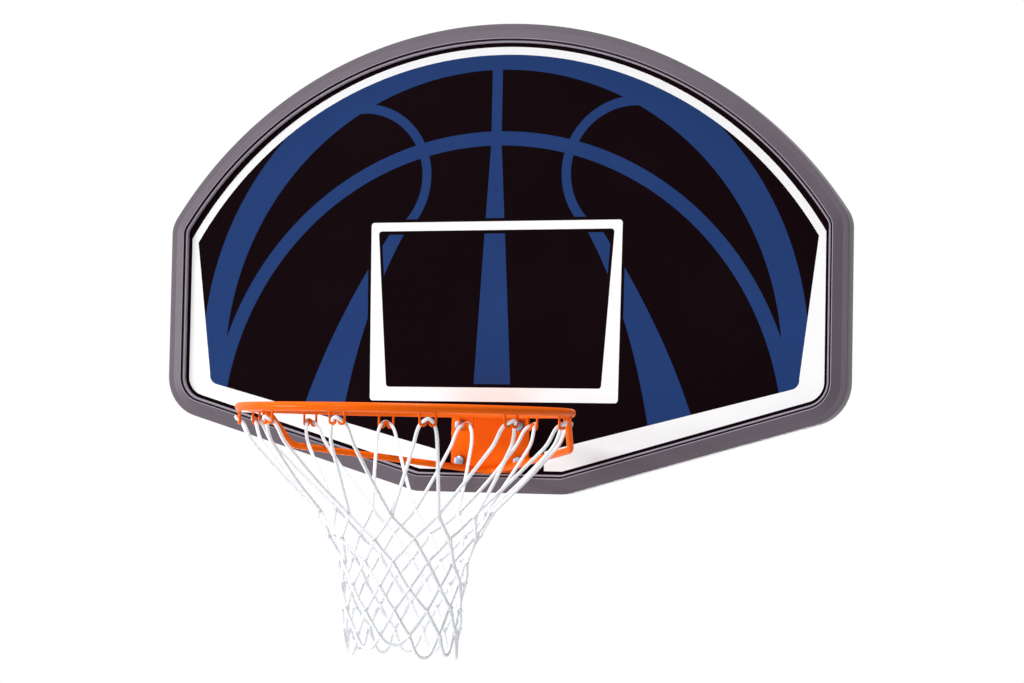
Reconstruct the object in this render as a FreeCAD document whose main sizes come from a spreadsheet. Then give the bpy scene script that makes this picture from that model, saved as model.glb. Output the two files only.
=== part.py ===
"""A basketball backboard: a fan-shaped panel in a moulded frame, with a fixed rim and its net.

Millimetres, +Z up, +X to the right of someone facing the board, the front towards -Y.
The origin is the middle of the bolt pattern on the rear faces of the two steel channels.
"""
import FreeCAD, Part
import math
import os
import Sketcher
from FreeCAD import Placement, Rotation, Vector

os.makedirs("parts", exist_ok=True)
doc = FreeCAD.newDocument("backboard")
sheet = doc.addObject("Spreadsheet::Sheet", "sizes")

# Driving sizes, in millimetres and degrees
SIZES = {
    # The fan outline of the frame: its corners before rounding, with heights from the origin
    "board_width": 1118,
    "board_above": 447,
    "board_below": 280,
    "shoulder_above": 139,
    "side_foot_below": 154,
    "foot_width": 245.6,
    "foot_corner_radius": 40,
    "side_corner_radius": 66,
    "shoulder_radius": 48,
    # The panel and the frame's two halves
    "panel_thickness": 6,
    "panel_edge_inset": 5,
    "bezel_wall": 3.5,
    "bezel_width": 29.5,
    "bezel_shoulder_proud": 4,
    "bezel_shoulder_width": 9,
    "bezel_crest_proud": 9.5,
    "bezel_band_width": 13.5,
    "bezel_groove_inset": 24,
    "bezel_groove_width": 2.5,
    "bezel_groove_depth": 4.5,
    "bezel_lip_drop": 2.5,
    "rear_frame_depth": 24,
    "rear_frame_inset": 4,
    "rear_frame_width": 28,
    "rear_frame_wall": 3.5,
    "rear_frame_floor": 4,
    # Screws of the frame
    "frame_screw_inset": 16,
    "frame_screw_radius": 2.4,
    "frame_screw_bite": 4.7,
    "frame_screw_head_radius": 5,
    "frame_screw_head_height": 3.5,
    "screw_post_radius": 6,
    "screw_clearance": 0.3,
    "thread_clearance": 0.1,
    # The two hat channels behind the board and their screws
    "channel_spacing": 210,
    "channel_depth": 28,
    "channel_crown_width": 42,
    "channel_brim_width": 16,
    "channel_gauge": 2.5,
    "channel_end_inset": 8,
    "channel_screw_edge": 10,
    "block_screw_edge": 20,
    "channel_screw_radius": 3,
    "channel_screw_bite": 14,
    "channel_screw_head_radius": 6.5,
    "channel_screw_head_height": 4.5,
    "mount_drop": 300,
    "mount_hole_radius": 5.5,
    # The block and the plate behind the rim
    "block_top_width": 340,
    "block_foot_width": 200,
    "block_top_below": 140,
    "block_side_below": 226,
    "block_foot_below": 245,
    "back_plate_width": 130,
    "back_plate_margin": 14.5,
    "back_plate_gauge": 3,
    # The rim's ring and plate
    "rim_inner_diameter": 457,
    "rim_bar_radius": 6.35,
    "rim_reach": 340,
    "rim_below": 160,
    "plate_width": 128,
    "plate_gauge": 4,
    "plate_bend_radius": 5,
    "plate_foot_below": 249.5,
    "plate_corner_height": 15,
    "plate_corner_width": 30,
    # The rim's bolts
    "bolt_span": 97,
    "bolt_upper_below": 176,
    "bolt_drop": 55.5,
    "bolt_radius": 4.75,
    "bolt_head_radius": 8.6,
    "bolt_head_height": 6,
    "bolt_clearance": 0.4,
    "bolt_tail": 4,
    "washer_radius": 11,
    "washer_gauge": 2,
    "nut_radius": 8.3,
    "nut_height": 8,
    # The brace under the ring
    "brace_radius": 5,
    "brace_root_angle": 6.5,
    "brace_knee_out": 218,
    "brace_knee_back": 87,
    "brace_knee_below": 52,
    "brace_knee_radius": 22,
    "brace_foot_radius": 34,
    "brace_foot_above": 4,
    "brace_weld_bite": 0.6,
    # The net hooks
    "hook_wire_radius": 1.75,
    "hook_drop": 18.5,
    "hook_turn_radius": 4.3,
    "hook_peak_radius": 2.2,
    "hook_peak_drop": 8,
    # The net: rows of knots from the hooks to the lowest loops
    "net_cord": 5.2,
    "net_clearance": 0.3,
    "net_fall": 345,
    "net_first_knot_fall": 145,
    "net_shoulder_radius": 128,
    "net_waist_radius": 92.5,
    "net_tail_radius": 79.5,
    # Length that cutting shapes run past what they cut
    "overrun": 5,
}
HOOK_COUNT = 12
NET_ROWS = 8
NET_SPLIT_ROW = 3
# Directions of the frame's screws on the right half, in degrees up from the +X axis
FRAME_SCREW_ANGLES = (-90, -44, -24, -8, 10, 27, 43, 58, 90)

for row, (name, value) in enumerate(SIZES.items(), start=1):
    sheet.set(f"A{row}", name)
    sheet.set(f"B{row}", str(value))
    sheet.setAlias(f"B{row}", name)
doc.recompute()


def mm(name):
    """The value of one driving size."""
    return float(sheet.get(name))


def bind(thing, **sizes):
    """Tie an object's properties to expressions on the sheet's sizes."""
    for prop, expression in sizes.items():
        thing.setExpression(prop.replace("__", "."), expression)


TO_FRONT = Rotation(Vector(1, 0, 0), 90)
# How sketches number the ends of a piece, and the origin's own point and upright axis
START, END, CENTRE = range(1, 4)
ORIGIN, ORIGIN_UP = range(-1, -3, -1)

# The fan's arc through the shoulders and the top, and the slope and round of the lower sides
FAN_RISE = "(sizes.board_above - sizes.shoulder_above)"
FAN_RADIUS = f"((sizes.board_width ^ 2 / 4 + {FAN_RISE} ^ 2) / (2 * {FAN_RISE}))"
FAN_BELOW = f"({FAN_RADIUS} - sizes.board_above)"
FOOT_SLOPE = "atan(2 * (sizes.board_below - sizes.side_foot_below) / (sizes.board_width - sizes.foot_width))"
SIDE_BELOW = f"(sizes.side_foot_below - sizes.side_corner_radius * tan(45 deg - {FOOT_SLOPE} / 2))"


def value_of(expression):
    """The number that an expression on the sheet's sizes gives now."""
    return float(sheet.evalExpression(expression.replace("sizes.", "")))


def fan_outline():
    """The frame's outer outline: a round top, straight sides, sloped lower sides and a flat foot."""
    half = mm("board_width") / 2
    slope = math.radians(value_of(FOOT_SLOPE))
    foot_r, side_r, top_r = mm("foot_corner_radius"), mm("side_corner_radius"), mm("shoulder_radius")
    fan_r = value_of(FAN_RADIUS)
    foot = -mm("board_below")
    side = Vector(half - side_r, -value_of(SIDE_BELOW), 0)
    fan = Vector(0, -value_of(FAN_BELOW), 0)
    top = Vector(half - top_r, fan.y + math.sqrt((fan_r - top_r) ** 2 - (half - top_r) ** 2), 0)
    down = Vector(math.sin(slope), -math.cos(slope), 0)
    reach = (side + down * side_r - Vector(0, foot, 0)).y - foot_r * (1 - math.cos(slope))
    heel = Vector((side + down * side_r).x - reach / math.tan(slope) - foot_r * down.x, foot + foot_r, 0)
    turn = math.atan2(top.y - fan.y, top.x)

    def flip(point):
        return Vector(-point.x, point.y, 0)

    def corner(centre, radius, start, end):
        circle = Part.Circle(centre, Vector(0, 0, 1), radius)
        return Part.ArcOfCircle(circle, start, end)

    below = -math.pi / 2
    sketch = doc.addObject("Sketcher::SketchObject", "fan_outline")
    sketch.addGeometry([
        Part.LineSegment(flip(heel) - Vector(0, foot_r, 0), heel - Vector(0, foot_r, 0)),
        corner(heel, foot_r, below, below + slope),
        Part.LineSegment(heel + down * foot_r, side + down * side_r),
        corner(side, side_r, below + slope, 0),
        Part.LineSegment(side + Vector(side_r, 0, 0), top + Vector(top_r, 0, 0)),
        corner(top, top_r, 0, turn),
        corner(fan, fan_r, turn, math.pi - turn),
        corner(flip(top), top_r, math.pi - turn, math.pi),
        Part.LineSegment(flip(top) - Vector(top_r, 0, 0), flip(side) - Vector(side_r, 0, 0)),
        corner(flip(side), side_r, math.pi, -below + math.pi - slope),
        Part.LineSegment(flip(side + down * side_r), flip(heel + down * foot_r)),
        corner(flip(heel), foot_r, -below + math.pi - slope, -below + math.pi),
    ])
    FOOT, HEEL, SLOPE, SIDE, EDGE, TOP, FAN, TOP_2, EDGE_2, SIDE_2, SLOPE_2, HEEL_2 = range(12)
    for piece in range(HEEL_2):
        sketch.addConstraint(Sketcher.Constraint("Tangent", piece, END, piece + 1, START))
    sketch.addConstraint(Sketcher.Constraint("Tangent", HEEL_2, END, FOOT, START))
    sketch.addConstraint(Sketcher.Constraint("Horizontal", FOOT))
    sketch.addConstraint(Sketcher.Constraint("Vertical", EDGE))
    sketch.addConstraint(Sketcher.Constraint("Vertical", EDGE_2))
    sketch.addConstraint(Sketcher.Constraint("Equal", HEEL, HEEL_2))
    sketch.addConstraint(Sketcher.Constraint("Equal", SIDE, SIDE_2))
    sketch.addConstraint(Sketcher.Constraint("Equal", TOP, TOP_2))
    sketch.addConstraint(Sketcher.Constraint("PointOnObject", FAN, CENTRE, ORIGIN_UP))
    sketch.addConstraint(Sketcher.Constraint("Symmetric", SIDE, CENTRE, SIDE_2, CENTRE, ORIGIN_UP))
    driven = [
        (Sketcher.Constraint("DistanceX", EDGE_2, END, EDGE, START, 2 * half), "sizes.board_width"),
        (Sketcher.Constraint("DistanceY", FOOT, START, ORIGIN, START, -foot), "sizes.board_below"),
        (Sketcher.Constraint("Radius", FAN, fan_r), FAN_RADIUS),
        (Sketcher.Constraint("DistanceY", FAN, CENTRE, ORIGIN, START, -fan.y), FAN_BELOW),
        (Sketcher.Constraint("Angle", SLOPE, slope), FOOT_SLOPE),
        (Sketcher.Constraint("Angle", SLOPE_2, -slope), "-" + FOOT_SLOPE),
        (Sketcher.Constraint("DistanceY", SIDE, CENTRE, ORIGIN, START, -side.y), SIDE_BELOW),
        (Sketcher.Constraint("Radius", HEEL, foot_r), "sizes.foot_corner_radius"),
        (Sketcher.Constraint("Radius", SIDE, side_r), "sizes.side_corner_radius"),
        (Sketcher.Constraint("Radius", TOP, top_r), "sizes.shoulder_radius"),
    ]
    for constraint, expression in driven:
        sketch.setExpression(f"Constraints[{sketch.addConstraint(constraint)}]", expression)
    sketch.Placement = Placement(Vector(0, 0, 0), TO_FRONT)
    return sketch


outline = fan_outline()


def drawn_in(name, inset):
    """The outline moved inward by inset."""
    edge = doc.addObject("Part::Offset2D", name)
    edge.Source = outline
    bind(edge, Value=f"-({inset})")
    return edge


def slab(name, inset, start, depth, taper="0"):
    """The outline drawn in by inset, as a slab that starts ahead of the mounting faces and grows forward."""
    block = doc.addObject("Part::Extrusion", name)
    block.Base = outline if inset == "0" else drawn_in(name + "_edge", inset)
    block.DirMode = "Custom"
    block.Dir = Vector(0, -1, 0)
    block.Solid = True
    bind(block, LengthFwd=depth, Placement__Base__y=f"-({start})", TaperAngle=taper)
    return block


def cut(name, base, *tools):
    """Base without the tools."""
    for count, tool in enumerate(tools, start=1):
        piece = doc.addObject("Part::Cut", f"{name}_{count}" if count < len(tools) else name)
        piece.Base = base
        piece.Tool = tool
        base = piece
    return base


def fuse(name, *pieces):
    """The pieces joined into one."""
    joined = doc.addObject("Part::MultiFuse", name)
    joined.Shapes = list(pieces)
    return joined


def rod(name, radius, start, length):
    """A round bar along Y that starts ahead of the mounting faces and grows forward."""
    bar = doc.addObject("Part::Cylinder", name)
    bar.Placement = Placement(Vector(0, 0, 0), TO_FRONT)
    bind(bar, Radius=radius, Height=length, Placement__Base__y=f"-({start})")
    return bar


def hexagon(name, radius, start, length):
    """A hexagonal bar along Y that starts ahead of the mounting faces and grows forward."""
    bar = doc.addObject("Part::Prism", name)
    bar.Polygon = 6
    bar.Placement = Placement(Vector(0, 0, 0), TO_FRONT)
    bind(bar, Circumradius=radius, Height=length, Placement__Base__y=f"-({start})")
    return bar


def group(name, pattern, places):
    """Copies of one shape at several places in the board's plane, as separate solids."""
    doc.recompute()
    copies = doc.addObject("Part::Feature", name)
    copies.Shape = Part.makeCompound([pattern.Shape.translated(place) for place in places])
    return copies


# Depths ahead of the mounting faces
REAR = "sizes.channel_depth"
PANEL_BACK = f"({REAR} + sizes.rear_frame_depth)"
FACE = f"({PANEL_BACK} + sizes.panel_thickness)"
face_y = -mm("channel_depth") - mm("rear_frame_depth") - mm("panel_thickness")
nodes = {}

# Screw places round the frame, where each direction meets the outline drawn in
screw_line = drawn_in("screw_line", "sizes.frame_screw_inset")
doc.recompute()


def on_screw_line(angle):
    """The point of the screws' line in one direction from the origin."""
    far = mm("board_width")
    ray = Part.makeLine(Vector(0, 0, 0), Vector(far * math.cos(angle), 0, far * math.sin(angle)))
    return screw_line.Shape.section(ray).Vertexes[0].Point


right_angles = [math.radians(angle) for angle in FRAME_SCREW_ANGLES]
frame_screw_places = [on_screw_line(angle) for angle in right_angles]
frame_screw_places += [on_screw_line(math.pi - angle) for angle in right_angles[1:-1]]

# Bolt places of the rim, and screw and bolt places of the channels
bolt_places = [
    Vector(side * mm("bolt_span") / 2, 0, -mm("bolt_upper_below") - row * mm("bolt_drop"))
    for side in (-1, 1) for row in (0, 1)
]
channel_half = mm("channel_crown_width") / 2 + mm("channel_brim_width")
brim_middle = (mm("channel_crown_width") + mm("channel_brim_width")) / 2
channel_edge = mm("channel_spacing") / 2 + channel_half
fan_height = math.sqrt(value_of(FAN_RADIUS) ** 2 - channel_edge ** 2) - value_of(FAN_BELOW)
channel_top = fan_height - mm("channel_end_inset")
channel_foot = -mm("board_below") + mm("channel_end_inset")
end_rows = (channel_top - mm("channel_screw_edge"), channel_foot + mm("channel_screw_edge"))
block_rows = (
    -mm("block_top_below") - mm("block_screw_edge"),
    -mm("block_side_below") + mm("channel_screw_edge"),
)


def channel_places(side, rows):
    """Screw places on both brims of one channel."""
    middle = side * mm("channel_spacing") / 2
    return [Vector(middle + brim * brim_middle, 0, row) for brim in (-1, 1) for row in rows]


end_places = channel_places(-1, end_rows) + channel_places(1, end_rows)
block_places = channel_places(-1, block_rows) + channel_places(1, block_rows)
mount_places = [
    Vector(side * mm("channel_spacing") / 2, 0, row * mm("mount_drop") / 2)
    for side in (-1, 1) for row in (-1, 1)
]

# Holes that several pieces share
SCREW_BITE = "sizes.frame_screw_bite + sizes.panel_thickness + sizes.rear_frame_depth"
screw_holes = group("frame_screw_holes", rod(
    "frame_screw_hole", "sizes.frame_screw_radius + sizes.screw_clearance",
    REAR + " - sizes.overrun", "sizes.rear_frame_depth + sizes.panel_thickness + sizes.overrun"),
    frame_screw_places)
screw_threads = group("frame_screw_threads", rod(
    "frame_screw_thread", "sizes.frame_screw_radius + sizes.thread_clearance",
    REAR, SCREW_BITE + " + sizes.thread_clearance"), frame_screw_places)
channel_thread = rod("channel_thread", "sizes.channel_screw_radius + sizes.thread_clearance",
                     REAR + " - sizes.overrun",
                     "sizes.channel_screw_bite + sizes.overrun + sizes.thread_clearance")
end_threads = group("channel_end_threads", channel_thread, end_places)
block_threads = group("channel_block_threads", channel_thread, block_places)
bolt_holes = group("rim_bolt_holes", rod(
    "rim_bolt_hole", "sizes.bolt_radius + sizes.bolt_clearance",
    "0", FACE + " + sizes.plate_gauge + sizes.overrun"), bolt_places)

# Panel: a flat composite sheet, drilled for the rim's bolts and the frame's screws
panel_sheet = slab("panel_sheet", "sizes.panel_edge_inset", PANEL_BACK, "sizes.panel_thickness")
nodes["board_panel"] = cut("board_panel", panel_sheet, screw_holes, bolt_holes)

# Front bezel: a wall with a flat shoulder, a sloped band up to the crest, a groove and a low lip on the panel
wall = slab("bezel_wall_slab", "0", REAR,
            "sizes.rear_frame_depth + sizes.panel_thickness + sizes.bezel_shoulder_proud")
CREST_RISE = "(sizes.bezel_crest_proud - sizes.bezel_shoulder_proud)"
band = slab("bezel_band", "sizes.bezel_shoulder_width", FACE + " + sizes.bezel_shoulder_proud", CREST_RISE,
            f"-atan(sizes.bezel_band_width / {CREST_RISE})")
THROUGH = "sizes.rear_frame_depth + sizes.panel_thickness + sizes.bezel_crest_proud + 2 * sizes.overrun"
opening = slab("bezel_opening", "sizes.bezel_width", REAR + " - sizes.overrun", THROUGH)
cavity = slab("bezel_cavity", "sizes.bezel_wall", REAR + " - sizes.overrun",
              "sizes.rear_frame_depth + sizes.panel_thickness + sizes.overrun")
GROOVE_FLOOR = FACE + " + sizes.bezel_crest_proud - sizes.bezel_groove_depth"
LIP_INSET = "sizes.bezel_groove_inset + sizes.bezel_groove_width"
groove = cut("bezel_groove",
             slab("bezel_groove_outer", "sizes.bezel_groove_inset", GROOVE_FLOOR,
                  "sizes.bezel_groove_depth + sizes.overrun"),
             slab("bezel_groove_inner", LIP_INSET, GROOVE_FLOOR, "sizes.bezel_groove_depth + sizes.overrun"))
lip_step = slab("bezel_lip_step", LIP_INSET, FACE + " + sizes.bezel_crest_proud - sizes.bezel_lip_drop",
                "sizes.bezel_lip_drop + sizes.overrun")
bezel_solid = fuse("bezel_solid", wall, band)
nodes["front_bezel"] = cut("front_bezel", bezel_solid, opening, cavity, groove, lip_step, screw_threads)

# Rear frame: a moulded tray that clamps the panel, hollow at the front, with a post for each screw
INNER = "sizes.rear_frame_inset + sizes.rear_frame_width"
tray = slab("rear_tray", "sizes.rear_frame_inset", REAR, "sizes.rear_frame_depth")
tray_opening = slab("rear_tray_opening", INNER, REAR + " - sizes.overrun",
                    "sizes.rear_frame_depth + 2 * sizes.overrun")
HOLLOW = REAR + " + sizes.rear_frame_floor"
hollow = cut("rear_hollow",
             slab("rear_hollow_outer", "sizes.rear_frame_inset + sizes.rear_frame_wall", HOLLOW,
                  "sizes.rear_frame_depth"),
             slab("rear_hollow_inner", INNER + " - sizes.rear_frame_wall", HOLLOW, "sizes.rear_frame_depth"))
post = rod("rear_post", "sizes.screw_post_radius", REAR, "sizes.rear_frame_depth")
posts = group("rear_posts", post, frame_screw_places + end_places)
posted = fuse("rear_posted", cut("rear_shell", tray, tray_opening, hollow), posts)
nodes["rear_frame"] = cut("rear_frame", posted, tray_opening, screw_holes, end_threads)

# Frame screws: round heads on the rear face, shanks through the tray and the panel into the bezel
frame_screw = fuse("frame_screw",
                   rod("frame_screw_shank", "sizes.frame_screw_radius", REAR, SCREW_BITE),
                   rod("frame_screw_head", "sizes.frame_screw_head_radius",
                       REAR + " - sizes.frame_screw_head_height", "sizes.frame_screw_head_height"))
nodes["frame_screws"] = group("frame_screws", frame_screw, frame_screw_places)


def drawing(owner, name, plane):
    """An empty sketch on one of a body's own planes."""
    sketch = owner.newObject("Sketcher::SketchObject", name)
    face = next(item for item in owner.Origin.OriginFeatures if item.Role == plane)
    sketch.AttachmentSupport = [(face, "")]
    sketch.MapMode = "FlatFace"
    return sketch


def trace(sketch, corners, bends=None, closed=True):
    """A run of lines through corners given as expressions, each corner tied to its place.

    bends maps a side to the centre of its arc, and says whether the arc turns clockwise.
    """
    bends = bends or {}
    points = [Vector(value_of(across), value_of(up), 0) for across, up in corners]
    sides = len(points) if closed else len(points) - 1
    ends = []
    for side in range(sides):
        here, after = points[side], points[(side + 1) % len(points)]
        if side not in bends:
            sketch.addGeometry(Part.LineSegment(here, after))
            ends.append((START, END))
            continue
        middle, clockwise = bends[side]
        centre = Vector(value_of(middle[0]), value_of(middle[1]), 0)
        low, high = (after, here) if clockwise else (here, after)
        angles = [math.atan2(point.y - centre.y, point.x - centre.x) for point in (low, high)]
        circle = Part.Circle(centre, Vector(0, 0, 1), here.distanceToPoint(centre))
        sketch.addGeometry(Part.ArcOfCircle(circle, *angles))
        ends.append((END, START) if clockwise else (START, END))
    for side in range(sides if closed else sides - 1):
        after = (side + 1) % sides
        meeting = Sketcher.Constraint("Coincident", side, ends[side][1], after, ends[after][0])
        sketch.addConstraint(meeting)
    for index, (point, corner) in enumerate(zip(points, corners)):
        side, end = (index, ends[index][0]) if index < sides else (index - 1, ends[index - 1][1])
        places = (("DistanceX", point.x, corner[0]), ("DistanceY", point.y, corner[1]))
        for kind, here, expression in places:
            tie = sketch.addConstraint(Sketcher.Constraint(kind, ORIGIN, START, side, end, here))
            if expression != "0":
                sketch.setExpression(f"Constraints[{tie}]", expression)
    for side, (middle, clockwise) in bends.items():
        height = Sketcher.Constraint("DistanceY", ORIGIN, START, side, CENTRE, value_of(middle[1]))
        sketch.setExpression(f"Constraints[{sketch.addConstraint(height)}]", middle[1])


def pad(owner, sketch, length, both_ways=False):
    """A sketch grown into a solid."""
    grown = owner.newObject("PartDesign::Pad", owner.Name + "_pad")
    grown.Profile = sketch
    grown.Midplane = both_ways
    bind(grown, Length=length)
    return grown


# Channels: steel hat sections with their brims on the frame and the block, and mounting holes in the crown
CROWN = "sizes.channel_crown_width / 2"
BRIM = f"({CROWN} + sizes.channel_brim_width)"
WALL = f"({CROWN} - sizes.channel_gauge)"
BRIM_REAR = "(sizes.channel_gauge - sizes.channel_depth)"
EDGE = f"(sizes.channel_spacing / 2 + {BRIM})"
CHANNEL_TOP = f"(sqrt({FAN_RADIUS} ^ 2 - {EDGE} ^ 2) - {FAN_BELOW} - sizes.channel_end_inset)"
CHANNEL_FOOT = "(sizes.channel_end_inset - sizes.board_below)"
brim_holes = group("brim_holes", rod(
    "brim_hole", "sizes.channel_screw_radius + sizes.screw_clearance",
    REAR + " - sizes.channel_gauge - sizes.overrun", "sizes.channel_gauge + 2 * sizes.overrun"),
    end_places + block_places)
mount_holes = group("mount_holes", rod(
    "mount_hole", "sizes.mount_hole_radius", "-sizes.overrun", "sizes.channel_gauge + 2 * sizes.overrun"),
    mount_places)
for label, side in (("left_channel", "-"), ("right_channel", "")):
    hat = doc.addObject("PartDesign::Body", label + "_hat")
    section = drawing(hat, label + "_section", "XY_Plane")
    trace(section, [
        (f"-{BRIM}", BRIM_REAR), (f"-{CROWN}", BRIM_REAR), (f"-{CROWN}", "0"),
        (CROWN, "0"), (CROWN, BRIM_REAR), (BRIM, BRIM_REAR),
        (BRIM, "-sizes.channel_depth"), (WALL, "-sizes.channel_depth"), (WALL, "-sizes.channel_gauge"),
        (f"-{WALL}", "-sizes.channel_gauge"), (f"-{WALL}", "-sizes.channel_depth"),
        (f"-{BRIM}", "-sizes.channel_depth"),
    ])
    pad(hat, section, f"{CHANNEL_TOP} - {CHANNEL_FOOT}")
    bind(hat, Placement__Base__x=f"{side}sizes.channel_spacing / 2", Placement__Base__z=CHANNEL_FOOT)
    nodes[label] = cut(label, hat, brim_holes, mount_holes)

# Channel screws: flanged heads on the brims, threads in the frame's posts and in the block
channel_screw = fuse("channel_screw",
                     rod("channel_screw_shank", "sizes.channel_screw_radius", REAR + " - sizes.channel_gauge",
                         "sizes.channel_screw_bite + sizes.channel_gauge"),
                     hexagon("channel_screw_head", "sizes.channel_screw_head_radius",
                             REAR + " - sizes.channel_gauge - sizes.channel_screw_head_height",
                             "sizes.channel_screw_head_height"))
nodes["channel_screws"] = group("channel_screws", channel_screw, end_places + block_places)

# Block behind the rim: a solid moulding between the panel and the channels, cut to clear the frame
block = doc.addObject("PartDesign::Body", "rim_back_block_body")
block_face = drawing(block, "rim_back_block_face", "XZ_Plane")
trace(block_face, [
    ("-sizes.block_top_width / 2", "-sizes.block_top_below"),
    ("-sizes.block_top_width / 2", "-sizes.block_side_below"),
    ("-sizes.block_foot_width / 2", "-sizes.block_foot_below"),
    ("sizes.block_foot_width / 2", "-sizes.block_foot_below"),
    ("sizes.block_top_width / 2", "-sizes.block_side_below"),
    ("sizes.block_top_width / 2", "-sizes.block_top_below"),
])
pad(block, block_face, "sizes.rear_frame_depth")
bind(block, Placement__Base__y=f"-{REAR}")
nodes["rim_back_block"] = cut("rim_back_block", block, bolt_holes, block_threads)

# Back plate: flat steel under the rim bolts' washers
plate_blank = doc.addObject("Part::Box", "rim_back_plate_blank")
bind(plate_blank, Length="sizes.back_plate_width", Width="sizes.back_plate_gauge",
     Height="sizes.bolt_drop + 2 * sizes.back_plate_margin",
     Placement__Base__x="-sizes.back_plate_width / 2", Placement__Base__y=f"-{REAR}",
     Placement__Base__z="-sizes.bolt_upper_below - sizes.bolt_drop - sizes.back_plate_margin")
nodes["rim_back_plate"] = cut("rim_back_plate", plate_blank, bolt_holes)

# Ring: one round bar bent to a circle and welded shut
RING_RADIUS = "(sizes.rim_inner_diameter / 2 + sizes.rim_bar_radius)"
RING_Y = f"-({FACE} + sizes.rim_reach)"
ring_radius = value_of(RING_RADIUS)
ring_centre = Vector(0, value_of(RING_Y), -mm("rim_below"))
ring = doc.addObject("Part::Torus", "rim_ring")
bind(ring, Radius1=RING_RADIUS, Radius2="sizes.rim_bar_radius", Placement__Base__y=RING_Y,
     Placement__Base__z="-sizes.rim_below")
nodes["rim_ring"] = ring

# Rim plate: one bent steel plate, bolted flat to the panel, with a shelf that is welded to the ring
plate = doc.addObject("PartDesign::Body", "rim_plate_body")
section = drawing(plate, "rim_plate_section", "YZ_Plane")
BEND = "(sizes.plate_bend_radius + sizes.plate_gauge)"
SHELF = "(sizes.plate_gauge / 2 - sizes.rim_below)"
SHELF_END = f"(sqrt({RING_RADIUS} ^ 2 - (sizes.plate_width / 2) ^ 2) - {FACE} - sizes.rim_reach)"
BEND_CENTRE = (f"-{FACE} - {BEND}", f"{SHELF} - {BEND}")
trace(section, [
    (f"-{FACE}", "-sizes.plate_foot_below"),
    (f"-{FACE}", f"{SHELF} - {BEND}"),
    (f"-{FACE} - {BEND}", SHELF),
    (SHELF_END, SHELF),
    (SHELF_END, f"{SHELF} - sizes.plate_gauge"),
    (f"-{FACE} - {BEND}", f"{SHELF} - sizes.plate_gauge"),
    (f"-{FACE} - sizes.plate_gauge", f"{SHELF} - {BEND}"),
    (f"-{FACE} - sizes.plate_gauge", "-sizes.plate_foot_below"),
], {1: (BEND_CENTRE, False), 5: (BEND_CENTRE, True)})
pad(plate, section, "sizes.plate_width", both_ways=True)
for name, side in (("left", "-"), ("right", "")):
    corner = drawing(plate, f"rim_plate_{name}_corner", "XZ_Plane")
    trace(corner, [
        (f"{side}sizes.plate_width / 2", "-sizes.plate_foot_below"),
        (f"{side}sizes.plate_width / 2", "sizes.plate_corner_height - sizes.plate_foot_below"),
        (f"{side}(sizes.plate_width / 2 - sizes.plate_corner_width)", "-sizes.plate_foot_below"),
    ])
    snip = plate.newObject("PartDesign::Pocket", f"rim_plate_{name}_snip")
    snip.Profile = corner
    snip.Reversed = True
    bind(snip, Length=f"{FACE} + sizes.plate_gauge + sizes.overrun")
hoop = doc.addObject("Part::Cylinder", "hoop_space")
bind(hoop, Radius=RING_RADIUS, Height="2 * sizes.plate_foot_below", Placement__Base__y=RING_Y,
     Placement__Base__z="-2 * sizes.plate_foot_below")
nodes["rim_plate"] = cut("rim_plate", plate, hoop, ring, bolt_holes)

# Rim bolts, with hexagon heads on the plate, and their washers and nuts behind the back plate
NUT_FRONT = REAR + " - sizes.back_plate_gauge - sizes.washer_gauge"
BOLT_END = NUT_FRONT + " - sizes.nut_height - sizes.bolt_tail"
bolt = fuse("rim_bolt",
            rod("rim_bolt_shank", "sizes.bolt_radius", BOLT_END,
                f"{FACE} + sizes.plate_gauge - ({BOLT_END})"),
            hexagon("rim_bolt_head", "sizes.bolt_head_radius", FACE + " + sizes.plate_gauge",
                    "sizes.bolt_head_height"))
nodes["rim_bolts"] = group("rim_bolts", bolt, bolt_places)
washer = cut("rim_washer",
             rod("rim_washer_disc", "sizes.washer_radius", NUT_FRONT, "sizes.washer_gauge"),
             rod("rim_washer_hole", "sizes.bolt_radius + sizes.bolt_clearance",
                 NUT_FRONT + " - sizes.overrun", "sizes.washer_gauge + 2 * sizes.overrun"))
nodes["rim_washers"] = group("rim_washers", washer, bolt_places)
nut = cut("rim_nut",
          hexagon("rim_nut_blank", "sizes.nut_radius", NUT_FRONT + " - sizes.nut_height", "sizes.nut_height"),
          rod("rim_nut_thread", "sizes.bolt_radius + sizes.thread_clearance",
              NUT_FRONT + " - sizes.nut_height - sizes.overrun", "sizes.nut_height + 2 * sizes.overrun"))
nodes["rim_nuts"] = group("rim_nuts", nut, bolt_places)


def bent_path(points, radii):
    """Straight runs through the points, joined by tangent arcs of the given radii at the inner points."""
    edges = []
    begin = points[0]
    for before, here, after, radius in zip(points, points[1:], points[2:], radii):
        back = (before - here).normalize()
        ahead = (after - here).normalize()
        half_turn = (math.pi - back.getAngle(ahead)) / 2
        leave = here + back * radius * math.tan(half_turn)
        join = here + ahead * radius * math.tan(half_turn)
        inward = (back + ahead).normalize()
        middle = here + inward * radius * (1 / math.cos(half_turn) - 1)
        edges.append(Part.LineSegment(begin, leave).toShape())
        edges.append(Part.Arc(leave, middle, join).toShape())
        begin = join
    edges.append(Part.LineSegment(begin, points[-1]).toShape())
    return Part.Wire(edges)


# Brace: one rod from the ring's two sides down to knees and in to the plate's foot, welded at all three
root_angle = math.radians(mm("brace_root_angle"))
right_root = ring_centre + Vector(math.cos(root_angle), math.sin(root_angle), 0) * ring_radius
right_knee = ring_centre + Vector(mm("brace_knee_out"), mm("brace_knee_back"), -mm("brace_knee_below"))
foot_touch = Vector(0, face_y - mm("plate_gauge") - mm("brace_radius") + mm("brace_weld_bite"),
                    mm("brace_foot_above") - mm("plate_foot_below"))


def mirrored(point):
    """The same place on the left."""
    return Vector(-point.x, point.y, point.z)


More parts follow.
